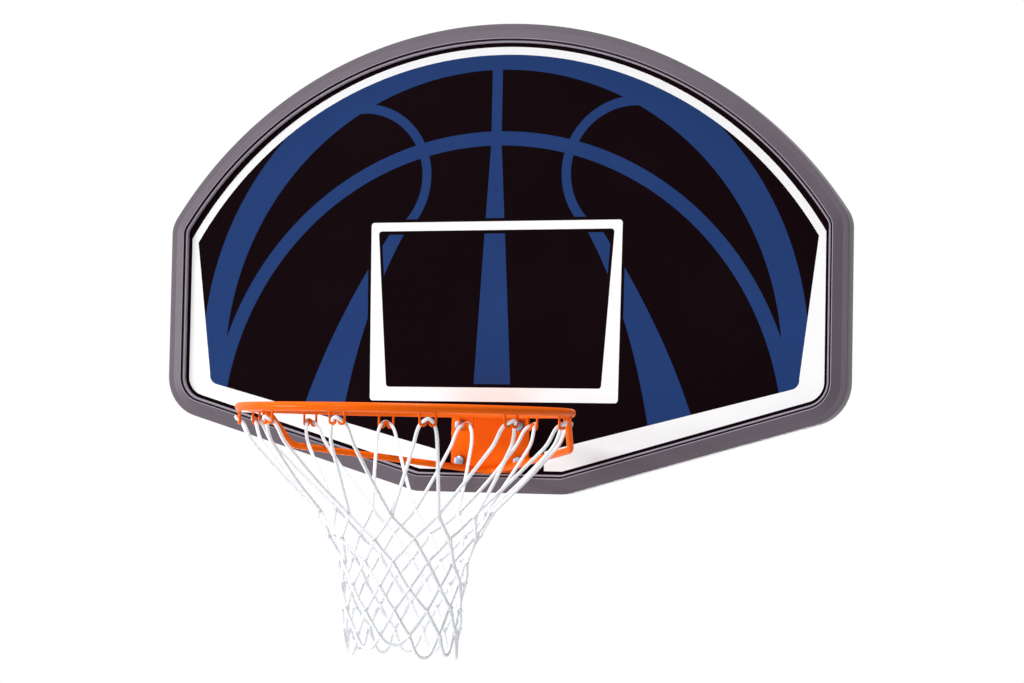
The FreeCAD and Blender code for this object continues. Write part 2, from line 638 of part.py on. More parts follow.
leg = right_knee - foot_touch
half_turn = (math.pi - leg.getAngle(mirrored(leg))) / 2
foot_point = foot_touch - Vector(0, leg.y, leg.z).normalize() * mm("brace_foot_radius") * (
    1 / math.cos(half_turn) - 1)
brace_line = bent_path(
    [mirrored(right_root), mirrored(right_knee), foot_point, right_knee, right_root],
    [mm("brace_knee_radius"), mm("brace_foot_radius"), mm("brace_knee_radius")])
brace_end = Part.makeCircle(mm("brace_radius"), mirrored(right_root), mirrored(right_knee - right_root))
brace_rod = doc.addObject("Part::Feature", "rim_brace_rod")
brace_rod.Shape = brace_line.makePipeShell([Part.Wire([brace_end])], True, False)
nodes["rim_brace"] = cut("rim_brace", brace_rod, ring, nodes["rim_plate"])

# Hooks: each one a wire bent to a W, its outer legs welded under the ring, the net's loop over its peak
hook = doc.addObject("PartDesign::Body", "net_hook_body")
hook_line = drawing(hook, "net_hook_line", "XZ_Plane")
HOOK_HALF = "(2 * sizes.hook_turn_radius + sizes.hook_peak_radius)"
TURN = "-(sizes.rim_bar_radius + sizes.hook_drop - sizes.hook_wire_radius - sizes.hook_turn_radius)"
PEAK = "-(sizes.rim_bar_radius + sizes.hook_peak_drop + sizes.hook_peak_radius)"
ROOT = "-sizes.rim_bar_radius / 2"
trace(hook_line, [
    (f"-{HOOK_HALF}", ROOT), (f"-{HOOK_HALF}", TURN), ("-sizes.hook_peak_radius", TURN),
    ("-sizes.hook_peak_radius", PEAK), ("sizes.hook_peak_radius", PEAK), ("sizes.hook_peak_radius", TURN),
    (HOOK_HALF, TURN), (HOOK_HALF, ROOT),
], {
    1: ((f"sizes.hook_turn_radius - {HOOK_HALF}", TURN), False),
    3: (("0", PEAK), True),
    5: ((f"{HOOK_HALF} - sizes.hook_turn_radius", TURN), False),
}, closed=False)
hook_section = drawing(hook, "net_hook_section", "XY_Plane")
wire_middle = Vector(-value_of(HOOK_HALF), 0, 0)
hook_section.addGeometry(Part.Circle(wire_middle, Vector(0, 0, 1), mm("hook_wire_radius")))
ties = (
    (Sketcher.Constraint("Radius", 0, mm("hook_wire_radius")), "sizes.hook_wire_radius"),
    (Sketcher.Constraint("DistanceX", ORIGIN, START, 0, CENTRE, wire_middle.x), f"-{HOOK_HALF}"),
)
for constraint, expression in ties:
    hook_section.setExpression(f"Constraints[{hook_section.addConstraint(constraint)}]", expression)
hook_section.addConstraint(Sketcher.Constraint("PointOnObject", 0, CENTRE, ORIGIN))
bind(hook_section, AttachmentOffset__Base__z=ROOT)
doc.recompute()
hook_wire = hook.newObject("PartDesign::AdditivePipe", "net_hook_wire")
hook_wire.Profile = hook_section
hook_wire.Spine = (hook_line, [f"Edge{count}" for count in range(1, len(hook_line.Shape.Edges) + 1)])
bind(hook, Placement__Base__y=f"{RING_Y} - {RING_RADIUS}", Placement__Base__z="-sizes.rim_below")
front_hook = cut("front_hook", hook, ring)
doc.recompute()
for count in range(HOOK_COUNT):
    turn = Rotation(Vector(0, 0, 1), math.degrees(2 * math.pi * count / HOOK_COUNT))
    label = f"net_hook_{count + 1:02d}"
    nodes[label] = doc.addObject("Part::Feature", label)
    nodes[label].Shape = front_hook.Shape.copy()
    nodes[label].Placement = Placement(Vector(0, 0, 0), turn, ring_centre).multiply(front_hook.Placement)

# Net: a funnel of crossed cords knotted in rows, each row half a step round from the one above
top_fall = mm("rim_bar_radius") + mm("hook_peak_drop")
row_step = (mm("net_fall") - mm("net_first_knot_fall")) / (NET_ROWS - 2)
row_falls = [top_fall] + [mm("net_first_knot_fall") + row_step * row for row in range(NET_ROWS - 1)]
profile = [
    (ring_radius - mm("hook_wire_radius") - mm("net_clearance"), top_fall),
    (mm("net_shoulder_radius"), row_falls[1]),
    (mm("net_waist_radius"), row_falls[NET_SPLIT_ROW]),
    (mm("net_tail_radius"), row_falls[-1]),
]


def radius_at(fall):
    """The net's outer radius at a depth below the ring's plane."""
    for (upper, start), (lower, end) in zip(profile, profile[1:]):
        if fall <= end:
            return upper + (lower - upper) * (fall - start) / (end - start)
    return lower


def funnel(stations):
    """A thin wall turned round the ring's axis inside the stations, one cord thick across its slope."""
    outer, inner = [], []
    for (upper, start), (lower, end) in zip(stations, stations[1:]):
        slope = (upper - lower) / (end - start)
        wall = mm("net_cord") * math.sqrt(1 + slope ** 2)
        outer += [Vector(upper, 0, -start), Vector(lower, 0, -end)]
        inner += [Vector(upper - wall, 0, -start), Vector(lower - wall, 0, -end)]
    corners = outer + inner[::-1] + outer[:1]
    return Part.Face(Part.makePolygon(corners)).revolve(Vector(0, 0, 0), Vector(0, 0, 1), 360)


def mesh_gap(row, count):
    """The space between cords whose side knots are in one row, as a bar that points out from the axis."""
    half_step = math.pi / HOOK_COUNT
    half_width = radius_at(row_falls[row]) * math.sin(half_step)
    side_fall = row_falls[row]
    above = row_falls[row - 1] if row > 0 else side_fall
    below = row_falls[row + 1] if row < NET_ROWS - 1 else side_fall
    corners = [(0, above), (half_width, side_fall), (0, below), (-half_width, side_fall)]
    if row == 0 or row == NET_ROWS - 1:
        tip = below if row == 0 else above
        rise = (side_fall - tip) * 2
        corners = [(0, tip), (2 * half_width, tip + rise), (-2 * half_width, tip + rise)]
    start = mm("net_tail_radius") / 2
    points = [Vector(across, -start, -fall) for across, fall in corners]
    edge = Part.makePolygon(points + points[:1]).makeOffset2D(-mm("net_cord") / 2, 2)
    bar = Part.Face(edge).extrude(Vector(0, start - ring_radius, 0))
    turn = 2 * half_step * (count + (row + 1) % 2 / 2)
    return bar.rotated(Vector(0, 0, 0), Vector(0, 0, 1), math.degrees(turn))


gaps = [[mesh_gap(row, count) for count in range(HOOK_COUNT)] for row in range(NET_ROWS)]
for label, stations, rows in (
    ("net_upper", profile[:3], range(NET_SPLIT_ROW + 2)),
    ("net_lower", profile[2:], range(NET_SPLIT_ROW - 1, NET_ROWS)),
):
    nodes[label] = doc.addObject("Part::Feature", label)
    nodes[label].Shape = funnel(stations).cut([gap for row in rows for gap in gaps[row]])
    nodes[label].Placement = Placement(ring_centre, Rotation())

# Every object has to be whole before anything is written
doc.recompute()
for thing in doc.Objects:
    if {"Invalid", "Error"} & set(thing.State):
        raise RuntimeError(f"{thing.Name} failed: {thing.State}")
for label, piece in nodes.items():
    piece.Label = label
    if piece.Shape.isNull() or not piece.Shape.isValid():
        raise RuntimeError(f"{label} has no valid shape")
    piece.Shape.exportStep(f"parts/{label}.step")
    print(label, len(piece.Shape.Solids), "solids", round(piece.Shape.Volume), "mm3")
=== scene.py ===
"""Looks of a fan-shaped basketball backboard with its rim and net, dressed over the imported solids."""
import math
import random

import bmesh
import bpy
from bmesh.types import BMEdge, BMFace, BMVert
from mathutils import Matrix, Vector
from mathutils.geometry import delaunay_2d_cdt


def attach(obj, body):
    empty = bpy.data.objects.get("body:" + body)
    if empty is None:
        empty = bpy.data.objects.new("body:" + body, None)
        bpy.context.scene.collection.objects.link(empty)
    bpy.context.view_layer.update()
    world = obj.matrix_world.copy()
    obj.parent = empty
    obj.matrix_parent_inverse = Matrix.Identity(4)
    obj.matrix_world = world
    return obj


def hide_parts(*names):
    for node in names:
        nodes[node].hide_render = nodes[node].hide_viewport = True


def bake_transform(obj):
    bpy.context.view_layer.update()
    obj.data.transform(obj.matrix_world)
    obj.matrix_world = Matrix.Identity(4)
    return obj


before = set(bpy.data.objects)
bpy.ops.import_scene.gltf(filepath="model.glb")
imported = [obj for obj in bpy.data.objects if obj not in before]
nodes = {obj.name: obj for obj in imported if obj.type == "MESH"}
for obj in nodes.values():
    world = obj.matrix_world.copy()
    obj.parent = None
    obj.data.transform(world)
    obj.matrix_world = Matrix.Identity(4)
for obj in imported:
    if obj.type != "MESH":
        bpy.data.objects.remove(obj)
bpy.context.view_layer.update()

# Printed panel: one flat sheet of dense black plastic, screen printed on the front in white and blue.
# A white border follows the edge, a white square marks the target, and blue ball seams fill the field.
# It drops into the frame from the rear, so its own edge never shows.
MM = 0.001
FACE = -58 * MM
BACK = -52 * MM


def paint(red, green, blue):
    """A colour as it is seen, turned into the renderer's own linear values."""
    shown = [value / 255 for value in (red, green, blue)]
    return tuple(v / 12.92 if v < 0.04045 else ((v + 0.055) / 1.055) ** 2.4 for v in shown) + (1,)


class Tone:
    """A number in a material that varies over the surface and takes part in sums."""

    def __init__(self, finish, socket):
        self.finish, self.socket = finish, socket

    def sum(self, operation, *terms):
        return self.finish.node("Math", {"operation": operation}, **dict(zip(("0", "1"), terms)))

    def __add__(self, other):
        return self.sum("ADD", self, other)

    def __sub__(self, other):
        return self.sum("SUBTRACT", self, other)

    def __mul__(self, other):
        return self.sum("MULTIPLY", self, other)

    def __abs__(self):
        return self.sum("ABSOLUTE", self)

    def wave(self):
        return self.sum("SINE", self)

    def step(self, low, high):
        """0 below low, 1 above high, and a smooth climb between them."""
        return self.finish.node("MapRange", {"interpolation_type": "SMOOTHSTEP"}, Value=self,
                                From_Min=low, From_Max=high)

    __radd__ = __add__


class Finish:
    """A procedural surface: a principled shader, its fixed values, and the nodes that feed it."""

    def __init__(self, name, **fixed):
        self.material = bpy.data.materials.new(name)
        self.material.use_nodes = True
        self.tree = self.material.node_tree
        self.skin = self.tree.nodes["Principled BSDF"]
        self.feed(**fixed)
        self.place = self.node("TexCoord", out="Object")

    def node(self, kind, settings=None, out=0, **values):
        made = self.tree.nodes.new("ShaderNode" + kind)
        for name, value in (settings or {}).items():
            setattr(made, name, value)
        for name, value in values.items():
            self.join(value, made.inputs[int(name) if name.isdigit() else name.replace("_", " ")])
        return Tone(self, made.outputs[out])

    def join(self, value, socket):
        if isinstance(value, Tone):
            self.tree.links.new(value.socket, socket)
        else:
            socket.default_value = value

    def noise(self, size, detail=3, stretch=(1, 1, 1)):
        """Soft noise whose grains are about one size across, in metres."""
        place = self.node("Mapping", Vector=self.place, Scale=stretch)
        return self.node("TexNoise", Vector=place, Scale=1 / size, Detail=detail)

    def mix(self, share, first, second):
        """One colour into another by a share of 0 to 1."""
        return self.node("Mix", {"data_type": "RGBA"}, out=2, **{"0": share, "6": first, "7": second})

    def relief(self, height, depth):
        """Raise the surface by height times depth, in metres."""
        self.feed(Normal=self.node("Bump", Height=height, Distance=depth, Strength=1))

    def feed(self, **values):
        for name, value in values.items():
            self.join(value, self.skin.inputs[name.replace("_", " ")])


def printed(name, colour, faded, gloss):
    """Ink or bare plastic on the panel: a fine moulded grain with faint rubbed patches."""
    finish = Finish(name, Specular_IOR_Level=gloss)
    patches = finish.noise(120 * MM).step(0.45, 0.75)
    grain = finish.noise(1.1 * MM, 2)
    finish.feed(Base_Color=finish.mix(patches * 0.5 + grain * 0.25, colour, faded),
                Roughness=0.36 + patches * 0.1 + grain * 0.12)
    finish.relief(grain, 0.06 * MM)
    return finish.material


def new_piece(name, mesh, body, slot, *replaced):
    """Put a finished mesh in the scene, on a body, in place of the solids that it stands for."""
    piece = bpy.data.objects.new(name, mesh)
    bpy.context.scene.collection.objects.link(piece)
    if replaced:
        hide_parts(*replaced)
    if body:
        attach(piece, body)
    return piece


def from_bmesh(name, bm, *materials, smooth=None):
    """A bmesh made into a mesh with its materials, smooth below an angle in degrees."""
    mesh = bpy.data.meshes.new(name)
    bm.to_mesh(mesh)
    bm.free()
    for material in materials:
        mesh.materials.append(material)
    if smooth:
        mesh.shade_smooth()
        mesh.set_sharp_from_angle(angle=math.radians(smooth))
    return mesh


def only(kind, items):
    """The items of one kind, from the mixed list that an operator gives back."""
    return [item for item in items if isinstance(item, kind)]


def arc(centre, radius, start, end, steps):
    """Points along an arc, in millimetres and degrees."""
    angles = [math.radians(start + (end - start) * step / steps) for step in range(steps + 1)]
    return [Vector((centre[0] + radius * math.cos(a), centre[1] + radius * math.sin(a))) for a in angles]


def disc(height, radius, steps=160):
    """A full circle on the board's middle line."""
    return arc((0, height), radius, 0, 360, steps)[:-1]


def mirrored(points):
    """The left side's points from the right side's, or the other way round, in running order."""
    return [Vector((-p.x, p.y)) for p in reversed(points)]


def both_sides(points):
    """An outline from its right half, with the left half mirrored."""
    return points + mirrored(points)


def rounded_square(low, high, radius):
    """A square on the middle line, from the centres of the arcs at its two right corners."""
    return both_sides(arc(low, radius, -90, 0, 4) + arc(high, radius, 0, 90, 4))


def curve_through(first, middle, last, steps=24):
    """A smooth edge through three points, as an arc of a parabola."""
    first, middle, last = Vector(first), Vector(middle), Vector(last)
    bend = 2 * middle - (first + last) / 2
    shares = [step / steps for step in range(steps + 1)]
    return [first * (1 - s) ** 2 + bend * 2 * s * (1 - s) + last * s ** 2 for s in shares]


# The outline's arcs on the right: centre, radius, degrees from and to, and steps.
FOOT_SLOPE = 16.11
CROWN_START = 33.57
OUTLINE = (((117.1, -240), 40, -90, -90 + FOOT_SLOPE, 6),
           ((493, -104.4), 66, -90 + FOOT_SLOPE, 0, 10),
           ((511, 124.8), 48, 0, CROWN_START, 8))
CROWN = (0, -214.3), 661.3, CROWN_START, 180 - CROWN_START, 96


def fan(inset):
    """The frame's outline drawn in by inset: flat foot, sloped sides, upright sides and a round top."""
    right = []
    for centre, radius, *turn in OUTLINE:
        right += arc(centre, radius - inset, *turn)
    centre, radius, *turn = CROWN
    return right + arc(centre, radius - inset, *turn)[1:-1] + mirrored(right)


# Each area of the print is a closed outline in millimetres. Areas overlap, and ink_of sorts them out.
BOW_CENTRE = (-224, 213)
seam_bow = arc(BOW_CENTRE, 116, 97, -52, 30) + arc(BOW_CENTRE, 101, -52, 97, 30)
seam_flare = (curve_through((-151, 124), (-214, -18), (-256, -190))
              + curve_through((-332, -190), (-268, -33), (-175, 124)))
print_areas = {
    "sheet": fan(5),
    "border": fan(35),
    "border_top": disc(-203.7, 615.1, 200),
    "field": both_sides([Vector((0, -237.6))] + arc((471.5, -102), 15, -76, 8, 6)
                        + arc((0, -202.5), 601.8, 31.5, 90, 40)[:-1]),
    "bracket": [Vector(p) for p in ((-86, -262), (88, -262), (88, -150), (-86, -150))],
    "target": rounded_square((200, -134.8), (203, 135), 5),
    "target_field": rounded_square((173, -113), (190, 121.5), 5),
    "target_edge": rounded_square((201, -136), (204, 136), 9),
    "target_inlay": both_sides([Vector((173, -112.5)), Vector((190, 121))]),
    "ball": disc(-69, 500.5),
    "ball_inner": disc(-84, 460),
    "belt": disc(-207, 487),
    "belt_inner": disc(-205, 463),
    "stripe": both_sides([Vector(p) for p in ((31.3, -130), (17, 119), (8.5, 262), (8.5, 400))]),
    "left_bow": seam_bow,
    "right_bow": mirrored(seam_bow),
    "left_flare": seam_flare,
    "right_flare": mirrored(seam_flare),
}
SEAMS = {"stripe", "left_bow", "right_bow", "left_flare", "right_flare"}
BLACK, WHITE, BLUE = range(3)


def ink_of(areas):
    """Which ink lies on a cell of the print, from the areas that hold it."""
    if "field" not in areas:
        return WHITE if {"border", "border_top"} <= areas and "bracket" not in areas else BLACK
    if "target" in areas and "target_field" not in areas:
        return WHITE
    if "bracket" in areas or ("target_edge" in areas and "target_inlay" not in areas):
        return BLACK
    rim_band = "ball" in areas and "ball_inner" not in areas
    belt_band = "belt" in areas and "belt_inner" not in areas and "ball" in areas
    return BLUE if rim_band or belt_band or areas & SEAMS else BLACK


names = list(print_areas)
corners, loops = [], []
for area in print_areas.values():
    turning = sum(a.cross(b) for a, b in zip(area, area[1:] + area[:1]))
    loops.append(list(range(len(corners), len(corners) + len(area))))
    corners += area if turning > 0 else area[::-1]
KEEP_INSIDE, SAME_POINT = 1, 0.01
corners, _, cells, _, _, owners = delaunay_2d_cdt(corners, [], loops, KEEP_INSIDE, SAME_POINT)

bm = bmesh.new()
points = [bm.verts.new((point.x * MM, FACE, point.y * MM)) for point in corners]
for cell, owner in zip(cells, owners):
    areas = {names[index] for index in owner}
    if "sheet" in areas:
        face = bm.faces.new([points[index] for index in cell])
        face.material_index = ink_of(areas)
bmesh.ops.delete(bm, geom=[v for v in bm.verts if not v.link_faces], context="VERTS")
bmesh.ops.recalc_face_normals(bm, faces=bm.faces)
if bm.faces[:][0].normal.y > 0:
    bmesh.ops.reverse_faces(bm, faces=bm.faces)
rear = bmesh.ops.extrude_face_region(bm, geom=bm.faces[:], use_keep_orig=True)["geom"]
bmesh.ops.translate(bm, vec=(0, BACK - FACE, 0), verts=only(BMVert, rear))
for face in bm.faces:
    if face.calc_center_median().y > FACE + 0.5 * MM:
        face.material_index = BLACK
bmesh.ops.reverse_faces(bm, faces=only(BMFace, rear))
panel_mesh = from_bmesh(
    "printed_panel", bm,
    printed("panel_black", paint(16, 5, 9), paint(21, 10, 14), 0.01),
    printed("ink_white", paint(250, 250, 251), paint(243, 244, 247), 0.1),
    printed("ink_blue", paint(34, 59, 111), paint(38, 64, 117), 0.02))
new_piece("printed_panel", panel_mesh, "board", "panel", "board_panel")

# Rear frame: a moulded grey tray, hollow inside with a post at each screw.
# It clamps the panel from behind against the bezel, and is of the same plastic,
# with the coarser grain of a face that nobody sees.


def moulded(name, colour, shade, grain_size, sheen=0.14):
    """Grained grey plastic: a pebbled mould texture with flow marks and scuffed, paler high spots."""
    finish = Finish(name, Specular_IOR_Level=sheen)
    pebbles = finish.node("TexVoronoi", {"feature": "F1"}, Vector=finish.place, Scale=1 / grain_size)
    flow = finish.noise(90 * MM, 2, (1, 1, 3))
    specks = finish.noise(4 * MM, 4).step(0.55, 0.8)
    finish.feed(Base_Color=finish.mix(flow * 0.6 + specks * 0.35, shade, colour),
                Roughness=0.44 + specks * 0.14 + flow * 0.06)
    finish.relief(pebbles, 0.12 * MM)
    return finish.material


nodes["rear_frame"].material_slots[0].material = moulded(
    "tray_grey", paint(110, 102, 111), paint(96, 87, 96), 2.2 * MM)

# Front bezel: the moulded face of the frame, drawn onto the rear frame by screws from behind.
# A wall covers the edge, a flat shoulder meets a sloped band,
# and a groove parts the band's crest from the low lip that holds the panel.
# The groove is painted dark grey as painted shade, and the crest and lip pale grey as a painted highlight.
BEZEL_GRAIN = 1.6 * MM
BEZEL_EDGE = 0.7 * MM
# The groove's faces take a dark grey: painted shade in the recess.
GROOVE_PAINTED_SHADE, CREST_PAINTED_HIGHLIGHT = 1, 2
# Profile corners as (inset from the outline, depth): up the wall, over the face, and back inside.
bezel_profile = ((0, -28), (0, -62), (9, -62), (22.5, -67.5), (24, -67.5), (24, -63), (26.5, -63),
                 (26.5, -65), (29.5, -65), (29.5, -58), (3.5, -58), (3.5, -28))
crest, groove, lip = bezel_profile[4:5], bezel_profile[5:8], bezel_profile[8:10]
# The crest and the lip take a pale grey: a painted highlight along the bezel's inner edge.
tone_of = dict.fromkeys(groove, GROOVE_PAINTED_SHADE) | dict.fromkeys(crest + lip, CREST_PAINTED_HIGHLIGHT)


def grow(bm, edges, place):
    """Extrude a row of edges and put each new point where place says. Gives the new row and its faces."""
    grown = bmesh.ops.extrude_edge_only(bm, edges=edges)["geom"]
    fresh = set(only(BMVert, grown))
    for vert in fresh:
        vert.co = place(vert)
    return [edge for edge in only(BMEdge, grown) if set(edge.verts) <= fresh], only(BMFace, grown)


def soften(bm, edges, width, segments):
    """Round edges over by a width in metres."""
    bmesh.ops.bevel(bm, geom=edges, offset=width, offset_type="OFFSET", affect="EDGES",
                    segments=segments, profile=0.5, material=-1)


bm = bmesh.new()
step_of = bm.verts.layers.int.new("step_of")
loops = [fan(inset) for inset, depth in bezel_profile]
ring = []
for step, point in enumerate(loops[0]):
    vert = bm.verts.new((point.x * MM, bezel_profile[0][1] * MM, point.y * MM))
    vert[step_of] = step
    ring.append(vert)
first_edges = [bm.edges.new((a, b)) for a, b in zip(ring, ring[1:] + ring[:1])]
edges = first_edges
creases = list(first_edges)
for loop, (inset, depth) in zip(loops[1:], bezel_profile[1:]):
    edges, faces = grow(bm, edges, lambda vert: (
        loop[vert[step_of]].x * MM, depth * MM, loop[vert[step_of]].y * MM))
    for face in faces:
        face.material_index = tone_of.get((inset, depth), 0)
    creases += edges
bmesh.ops.bridge_loops(bm, edges=first_edges + edges)
bmesh.ops.recalc_face_normals(bm, faces=bm.faces)
soften(bm, creases, BEZEL_EDGE, 3)
bezel_mesh = from_bmesh(
    "bezel", bm,
    moulded("bezel_grey", paint(108, 99, 109), paint(95, 86, 95), BEZEL_GRAIN, 0.22),
    # dark grey on the groove: painted shade
    moulded("groove_painted_shade", paint(46, 38, 43), paint(34, 27, 31), BEZEL_GRAIN),
    # pale grey on the crest and lip: painted highlight
    moulded("crest_painted_highlight", paint(168, 160, 174), paint(150, 142, 156), BEZEL_GRAIN), smooth=40)
new_piece("bezel", bezel_mesh, "board", "frame", "front_bezel")

# Screws and fixings behind the board: black screws hold the frame's halves together.
# The two channels are folded steel with a black powder coat, on zinc screws,
# and a moulded block and a zinc plate take the rim's load behind the panel.


def powder_coat(name, colour, worn, speckle):
    """Baked powder paint: a pebbled skin, with small rubs that show a dulled colour."""
    finish = Finish(name, Coat_Weight=0.12, Coat_Roughness=0.06, Specular_IOR_Level=0.03)
    peel = finish.noise(2.4 * MM, 2)
    rubs = finish.noise(18 * MM, 5).step(0.6, 0.74)
    finish.feed(Base_Color=finish.mix(rubs * speckle, colour, worn),
                Roughness=0.3 + peel * 0.1 + rubs * 0.15)
    finish.relief(peel, 0.12 * MM)
    return finish.material


def plated(name, colour, shade):
    """Bright zinc plate: bluish metal with streaks from the tumbling barrel."""
    finish = Finish(name, Metallic=1.0)
    streaks = finish.noise(3.5 * MM, 5, (1, 4, 1))
    stains = finish.noise(20 * MM).step(0.5, 0.8)
    finish.feed(Base_Color=finish.mix(streaks * 0.6 + stains * 0.4, colour, shade),
                Roughness=0.26 + streaks * 0.16 + stains * 0.1)
    finish.relief(streaks, 0.03 * MM)
    return finish.material


zinc = plated("zinc", paint(158, 170, 190), paint(104, 112, 130))
black_steel = powder_coat("channel_black", paint(30, 30, 32), paint(58, 58, 62), 0.7)
black_screw = plated("screw_black", paint(58, 57, 60), paint(34, 33, 36))
black_block = moulded("block_black", paint(46, 45, 48), paint(34, 33, 36), 2 * MM)
for material, dressed in ((black_steel, ("left_channel", "right_channel")),
                          (black_screw, ("frame_screws",)),
                          (black_block, ("rim_back_block",)),
                          (zinc, ("channel_screws", "rim_back_plate", "rim_washers", "rim_nuts"))):
    for name in dressed:
        nodes[name].material_slots[0].material = material

# Ring: one round steel bar bent to a circle and welded, with an orange powder coat.
# The plate's shelf is welded along its rear, and balls rub its top and inner side.
RING = Vector((0, -398 * MM, -160 * MM))
RING_SIZE = 234.85
RING_RADIUS = RING_SIZE * MM
BAR = 6.35 * MM
SEAM = 0.01 * MM
orange = powder_coat("rim_orange", paint(247, 102, 0), paint(236, 90, 0), 0.5)
bm = bmesh.new()
bar_place = Matrix.Translation(RING + Vector((RING_RADIUS, 0, 0))) @ Matrix.Rotation(math.pi / 2, 4, "X")
bmesh.ops.create_circle(bm, segments=28, radius=BAR, matrix=bar_place)
bmesh.ops.spin(bm, geom=bm.edges[:], cent=RING, axis=(0, 0, 1), angle=2 * math.pi, steps=180,
               use_merge=True)
bmesh.ops.remove_doubles(bm, verts=bm.verts, dist=SEAM)
bmesh.ops.recalc_face_normals(bm, faces=bm.faces)
new_piece("ring", from_bmesh("ring", bm, orange, smooth=60), "board", "rim", "rim_ring")

# Rim plate: flat steel, cut with its lower corners off, bent once at the top, drilled and bolted to the
# panel. Its shelf runs forward to the ring and is cut to the ring's curve.
PLATE = 4 * MM
PLATE_EDGE = 0.6 * MM
PLATE_HALF = 64
PLATE_FOOT, PLATE_CORNER = -249.5, -234.5
BEND_START = -190 * MM
BEND = 7 * MM
bend_centre = Vector((0, FACE - 9 * MM, -167 * MM))
SHELF_RADIUS = RING_RADIUS + 4.6 * MM
columns = [-PLATE_HALF, -34] + [x * 2 for x in range(-16, 17)] + [34, PLATE_HALF]
bm = bmesh.new()
row = []
for x in columns:
    height = PLATE_CORNER if abs(x) == PLATE_HALF else PLATE_FOOT
    row.append(bm.verts.new((x * MM, FACE - PLATE / 2, height * MM)))
edges = [bm.edges.new(pair) for pair in zip(row, row[1:])]
edges, _ = grow(bm, edges, lambda vert: (vert.co.x, vert.co.y, BEND_START))
for angle in (math.radians(a) for a in range(0, 91, 15)):
    edges, _ = grow(bm, edges, lambda vert: (
        vert.co.x, bend_centre.y + BEND * math.cos(angle), bend_centre.z + BEND * math.sin(angle)))
grow(bm, edges, lambda vert: (
    vert.co.x, RING.y + math.sqrt(SHELF_RADIUS ** 2 - vert.co.x ** 2), vert.co.z))
bmesh.ops.recalc_face_normals(bm, faces=bm.faces)
bmesh.ops.solidify(bm, geom=bm.faces[:], thickness=PLATE)
bmesh.ops.translate(bm, vec=(0, FACE - max(v.co.y for v in bm.verts), 0), verts=bm.verts)
bmesh.ops.remove_doubles(bm, verts=bm.verts, dist=SEAM)
bmesh.ops.recalc_face_normals(bm, faces=bm.faces)
sharp = [e for e in bm.edges if len(e.link_faces) == 2 and e.calc_face_angle() > math.radians(50)]
soften(bm, sharp, PLATE_EDGE, 2)
new_piece("rim_plate", from_bmesh("rim_plate", bm, orange, smooth=40), "board", "rim", "rim_plate")

# Brace: one round steel rod under the ring, coated with it, bent at two knees and at the plate's foot.
# Its ends are welded to the ring's sides and its middle to the plate, so it holds the ring level.
ROD = 5 * MM
KNEE_BEND, FOOT_BEND = 22 * MM, 34 * MM
ROOT_ANGLE = math.radians(6.5)
KNEE = Vector((218, 87, -52)) * MM
FOOT_HEIGHT, FOOT_SINK = -245.5 * MM, 0.6 * MM
CLOSED_THICKNESS = 0.66


def bent(points, radii, steps=10):
    """Points along straight runs that are joined by arcs of the given radii."""
    path = [points[0]]
    for before, here, after, radius in zip(points, points[1:], points[2:], radii):
        back, ahead = (before - here).normalized(), (after - here).normalized()
        half = (math.pi - back.angle(ahead)) / 2
        centre = here + (back + ahead).normalized() * radius / math.cos(half)
        start = here + back * radius * math.tan(half) - centre
        end = here + ahead * radius * math.tan(half) - centre
        spokes = [start.slerp(end, step / steps) for step in range(steps + 1)]
        path += [centre + spoke * (radius / spoke.length) for spoke in spokes]
    return path + [points[-1]]


def wires(name, paths, radius, sides, material, smooth_cord=False, closed=()):
    """Round rods or cords along paths, as one mesh. Closed paths are thinner rings."""
    line = bpy.data.curves.new(name, "CURVE")
    line.dimensions = "3D"
    line.bevel_depth = radius
    line.bevel_resolution = sides // 2 - 2
    line.use_fill_caps = True
    line.resolution_u = 5
    for path, ring in [(p, False) for p in paths] + [(p, True) for p in closed]:
        spline = line.splines.new("NURBS" if smooth_cord else "POLY")
        spline.points.add(len(path) - 1)
        for point, co in zip(spline.points, path):
            point.co = (*co, 1)
            point.radius = CLOSED_THICKNESS if ring else 1
        spline.use_cyclic_u = ring
        if smooth_cord:
            spline.order_u = 4
            spline.use_endpoint_u = not ring
    rod = bpy.data.objects.new(name, line)
    bpy.context.scene.collection.objects.link(rod)
    mesh = bpy.data.meshes.new_from_object(rod.evaluated_get(bpy.context.evaluated_depsgraph_get()))
    bpy.data.objects.remove(rod)
    mesh.name = name
    mesh.materials.clear()
    mesh.materials.append(material)
    mesh.shade_smooth()
    return mesh


root = RING + Vector((math.cos(ROOT_ANGLE), math.sin(ROOT_ANGLE), 0)) * RING_RADIUS
knee = RING + KNEE
foot_touch = Vector((0, FACE - PLATE - ROD + FOOT_SINK, FOOT_HEIGHT))
leg = knee - foot_touch
half_turn = (math.pi - leg.angle(Vector((-leg.x, leg.y, leg.z)))) / 2
foot = foot_touch - Vector((0, leg.y, leg.z)).normalized() * FOOT_BEND * (1 / math.cos(half_turn) - 1)
left = Matrix.Scale(-1, 3, (1, 0, 0))
brace_path = bent([left @ root, left @ knee, foot, knee, root], [KNEE_BEND, FOOT_BEND, KNEE_BEND])
new_piece("brace", wires("brace", [brace_path], ROD, 16, orange), "board", "rim", "rim_brace")

# Welds: beads of steel where the shelf and the brace meet the ring, and under the plate's foot.
# They are run by hand before the rim is coated, so they carry the same orange.
BEAD = 1.8 * MM
SHELF_WELD_RADIUS, SHELF_WELD_RISE = RING_RADIUS + 5.4 * MM, 3.2 * MM
FOOT_WELD_DEPTH, FOOT_WELD_RISE = 2.6 * MM, 4.4 * MM
ROOT_WELD_RADIUS, ROOT_WELD_ALONG = 5.3 * MM, 7.6 * MM
shelf_angles = [math.radians(a) for a in range(-15, 16, 2)]
shelf_welds, foot_welds, root_welds = [], [], []
for side in (-1, 1):
    rise = Vector((0, 0, side * SHELF_WELD_RISE))
    shelf_welds.append([RING + Vector((math.sin(a), math.cos(a), 0)) * SHELF_WELD_RADIUS + rise
                        for a in shelf_angles])
    foot_welds.append([foot_touch + Vector((x * MM, FOOT_WELD_DEPTH, side * FOOT_WELD_RISE))
                       for x in range(-12, 13, 3)])
